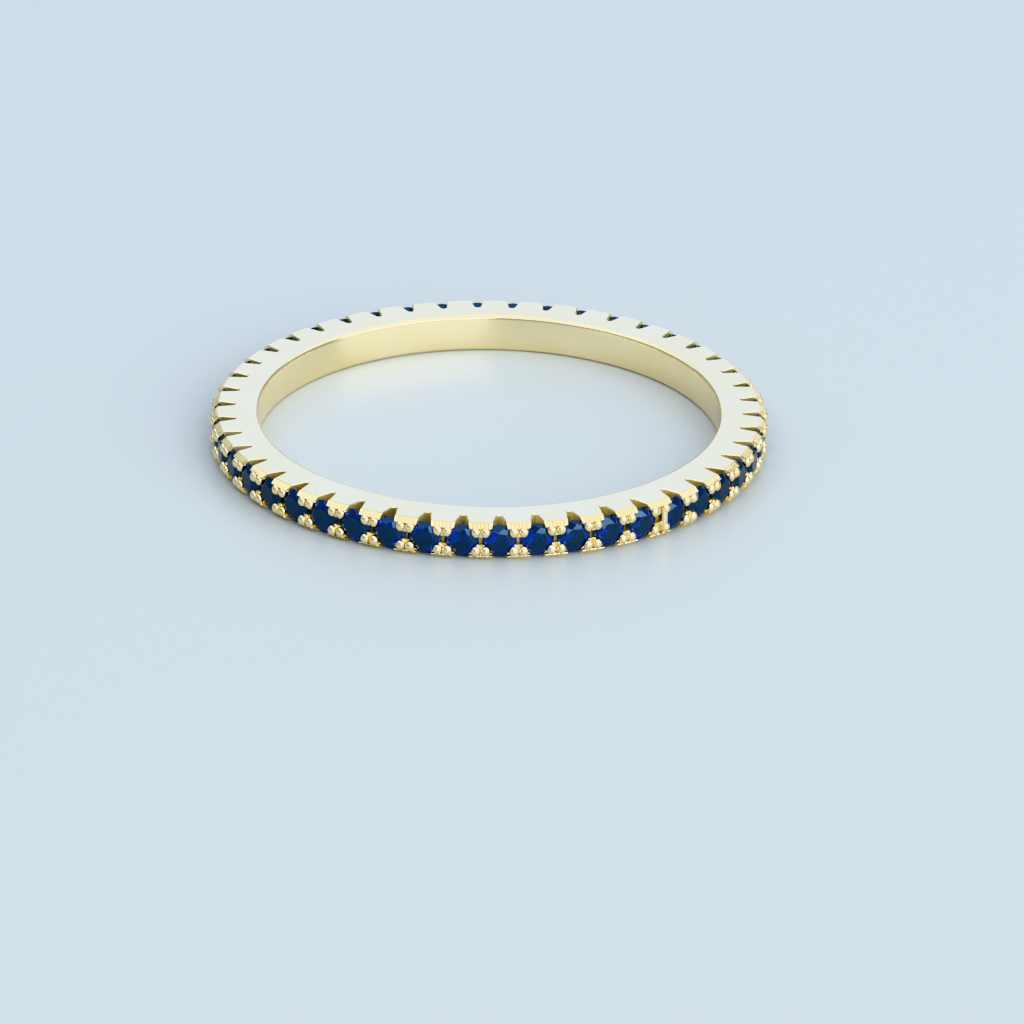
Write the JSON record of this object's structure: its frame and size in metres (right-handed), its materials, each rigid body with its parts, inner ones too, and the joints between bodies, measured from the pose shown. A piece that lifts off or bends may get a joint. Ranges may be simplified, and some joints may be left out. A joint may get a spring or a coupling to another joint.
{
  "type": "eternity ring",
  "caption": "Thin yellow gold finger ring with a full row of round faceted blue stones in split prongs, lying on its side.",
  "frame": {"origin": "middle of the finger hole, level with the lower side face that the ring lies on", "axes": "+Z along the finger hole, upwards; -Y towards the pictured front; +X to the right of the picture"},
  "size_m": [0.021, 0.021, 0.0014],
  "materials": {
    "gold": "polished yellow gold",
    "blue_stone": "faceted and polished, deep blue"
  },
  "bodies": {
    "root": {"band": "gold", "stones": "blue_stone"}
  },
  "joints": []
}
